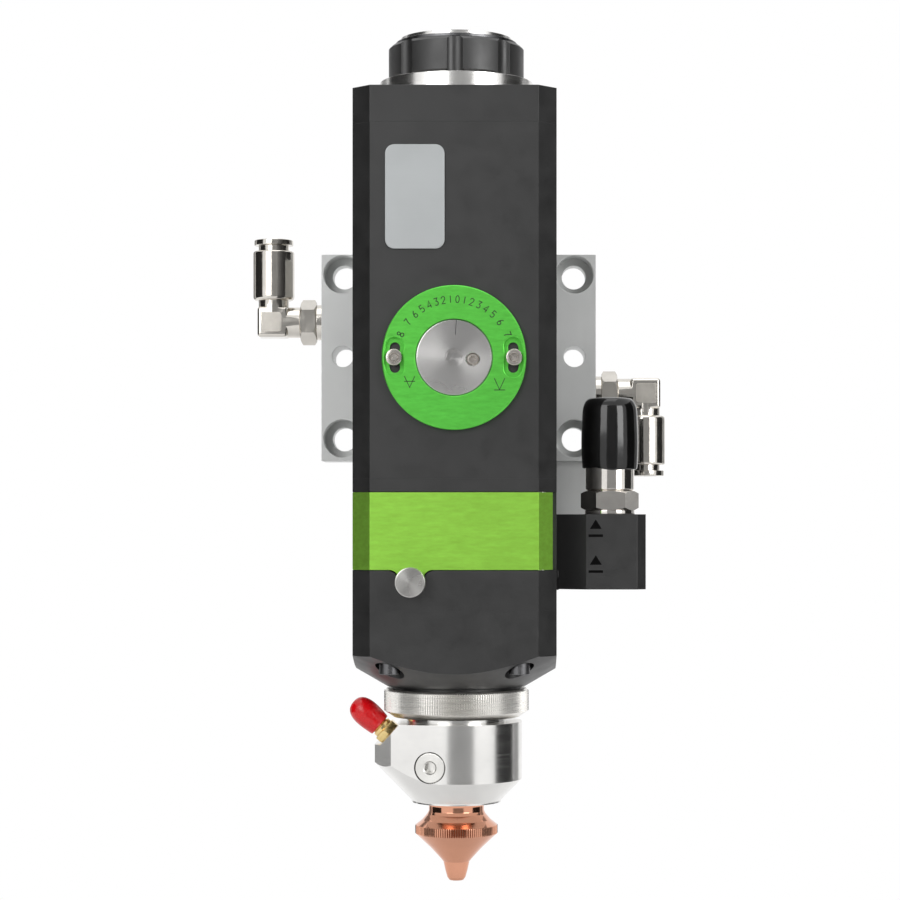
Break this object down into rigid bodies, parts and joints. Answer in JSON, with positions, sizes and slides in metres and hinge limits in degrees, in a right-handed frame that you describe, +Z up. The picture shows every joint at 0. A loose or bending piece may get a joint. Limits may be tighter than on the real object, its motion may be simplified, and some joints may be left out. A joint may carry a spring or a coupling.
{
  "type": "laser cutting head",
  "caption": "Laser cutting head: square black body on a mounting plate, focus dial, hinged window cover, height sensor and copper nozzle.",
  "frame": {"origin": "centre of the mounting plate's bolt pattern, on the plate's back face", "axes": "+Z up along the beam towards the fibre receiver, +Y backwards out of the plate into the machine, +X to the right seen from the front"},
  "size_m": [0.1474, 0.095, 0.285],
  "materials": {
    "black_anodised": "satin black anodised",
    "silver_anodised": "satin clear anodised, with milling marks",
    "green_anodised": "satin green anodised",
    "green_cover": "satin lime green anodised",
    "turned_steel": "fine turned stainless steel",
    "screw_steel": "bright screw steel",
    "nickel": "bright nickel plate on brass",
    "copper": "bright turned copper",
    "gold": "gold plated brass",
    "red_vinyl": "glossy soft red vinyl",
    "black_vinyl": "glossy soft black vinyl",
    "seal_rubber": "black seal rubber",
    "ceramic": "white technical ceramic",
    "white_plastic": "white fluoropolymer",
    "retainer_black": "black anodised",
    "optical_glass": "polished and coated"
  },
  "bodies": {
    "root": {"mount_plate": "silver_anodised", "plate_screws": "screw_steel", "channel_plug": "nickel", "main_housing": "black_anodised", "name_plate": "silver_anodised", "top_flange": "black_anodised", "top_flange_screws": "screw_steel", "receiver_screws": "screw_steel", "fibre_receiver": "turned_steel", "collar_clip": "screw_steel", "collimator_barrel": "silver_anodised", "collimator_lens": "optical_glass", "collimator_retainer": "retainer_black", "scale_ring_screws": "screw_steel", "window_block": "black_anodised", "block_screws": "screw_steel", "hinge_pin": "screw_steel", "nose": "black_anodised", "nose_screws": "screw_steel", "left_elbow_stud": "nickel", "right_elbow_stud": "nickel", "gas_block": "black_anodised", "duct_seal": "seal_rubber", "bracket_screws": "screw_steel", "block_bracket": "silver_anodised", "gas_washer": "nickel", "gas_fitting": "nickel"},
    "collar": {"lock_collar": "black_anodised"},
    "carriage": {"focus_carriage": "black_anodised", "carriage_seal": "seal_rubber", "focus_lens": "optical_glass", "focus_retainer": "retainer_black"},
    "dial": {"dial_shaft": "turned_steel", "dial_set_screw": "screw_steel", "dial_seal": "seal_rubber"},
    "scale": {"scale_ring": "green_anodised"},
    "cover": {"door": "green_cover"},
    "cover_clip": {"door_screw_clip": "screw_steel"},
    "cover_screw": {"door_screw": "turned_steel"},
    "window_drawer": {"drawer": "silver_anodised", "window_glass": "optical_glass", "window_retainer": "retainer_black", "window_seal": "seal_rubber"},
    "sensor": {"sensor_body": "turned_steel", "sensor_seal": "seal_rubber", "sensor_plug": "turned_steel", "insulator": "ceramic", "nozzle_holder": "turned_steel", "coax_connector": "gold", "coax_insulator": "white_plastic", "coax_contact": "gold"},
    "ring": {"lock_ring": "turned_steel"},
    "tip": {"nozzle": "copper"},
    "coax_cap": {"coax_cap": "red_vinyl"},
    "left_elbow": {"left_elbow": "nickel"},
    "left_collet": {"left_collet": "nickel"},
    "right_elbow": {"right_elbow": "nickel"},
    "right_collet": {"right_collet": "nickel"},
    "gas_collet": {"gas_collet": "nickel"},
    "gas_cap": {"gas_cap": "black_vinyl"}
  },
  "joints": [
    {"name": "collar_turn", "type": "hinge", "parent": "root", "child": "collar", "pos_m": [0, -0.0535, 0.0963], "axis": [0, 0, 1], "range_deg": [0, 45]},
    {"name": "dial_turn", "type": "hinge", "parent": "root", "child": "dial", "pos_m": [0, -0.087, -0.005], "axis": [0, 1, 0], "range_deg": [-70, 63]},
    {"name": "carriage_slide", "type": "slide", "parent": "root", "child": "carriage", "axis": [0, 0, 1], "range_m": [-0.008, 0.008]},
    {"name": "scale_turn", "type": "hinge", "parent": "root", "child": "scale", "pos_m": [0, -0.087, -0.005], "axis": [0, 1, 0], "range_deg": [-9, 9]},
    {"name": "cover_swing", "type": "hinge", "parent": "root", "child": "cover", "pos_m": [0.0284, -0.082, -0.0615], "axis": [0, 0, 1], "range_deg": [0, 120]},
    {"name": "drawer_slide", "type": "slide", "parent": "root", "child": "window_drawer", "axis": [0, -1, 0], "range_m": [0, 0.04]},
    {"name": "cover_clip_slide", "type": "slide", "parent": "cover", "child": "cover_clip", "axis": [0, -1, 0], "range_m": [0, 0.0032]},
    {"name": "cover_screw_turn", "type": "hinge", "parent": "cover_clip", "child": "cover_screw", "pos_m": [-0.0141, -0.087, -0.078], "axis": [0, -1, 0], "range_deg": [0, 1445]},
    {"name": "sensor_slide", "type": "slide", "parent": "root", "child": "sensor", "axis": [0, 0, -1], "range_m": [0, 0.00375]},
    {"name": "ring_turn", "type": "hinge", "parent": "sensor", "child": "ring", "pos_m": [0, -0.0535, -0.1195], "axis": [0, 0, -1], "range_deg": [0, 905]},
    {"name": "nozzle_turn", "type": "hinge", "parent": "sensor", "child": "tip", "pos_m": [0, -0.0535, -0.16], "axis": [0, 0, -1], "range_deg": [0, 1800]},
    {"name": "coax_cap_pull", "type": "slide", "parent": "sensor", "child": "coax_cap", "axis": [-0.7547, 0, 0.6561], "range_m": [0, 0.03]},
    {"name": "left_elbow_swivel", "type": "hinge", "parent": "root", "child": "left_elbow", "pos_m": [-0.0663, -0.01, 0.01275], "axis": [1, 0, 0], "continuous": true},
    {"name": "left_collet_press", "type": "slide", "parent": "left_elbow", "child": "left_collet", "axis": [0, 0, -1], "range_m": [0, 0.0012], "stiffness_N_per_m": 300, "springref_m": -0.002},
    {"name": "right_elbow_swivel", "type": "hinge", "parent": "root", "child": "right_elbow", "pos_m": [0.0663, -0.01, -0.01275], "axis": [1, 0, 0], "continuous": true},
    {"name": "right_collet_press", "type": "slide", "parent": "right_elbow", "child": "right_collet", "axis": [0, 0, 1], "range_m": [0, 0.0012], "stiffness_N_per_m": 300, "springref_m": -0.002},
    {"name": "gas_collet_press", "type": "slide", "parent": "root", "child": "gas_collet", "axis": [0, 0, -1], "range_m": [0, 0.0012], "stiffness_N_per_m": 300, "springref_m": -0.002},
    {"name": "gas_cap_pull", "type": "slide", "parent": "root", "child": "gas_cap", "axis": [0, 0, 1], "range_m": [0, 0.05]}
  ],
  "couplings": [
    {"joint": "carriage_slide", "follows": "dial_turn", "m_per_rad": -0.00645},
    {"joint": "drawer_slide", "follows": "cover_swing", "m_per_rad": 0.019},
    {"joint": "cover_screw_turn", "follows": "cover_clip_slide", "rad_per_m": 7854},
    {"joint": "ring_turn", "follows": "sensor_slide", "rad_per_m": 4188.8}
  ]
}
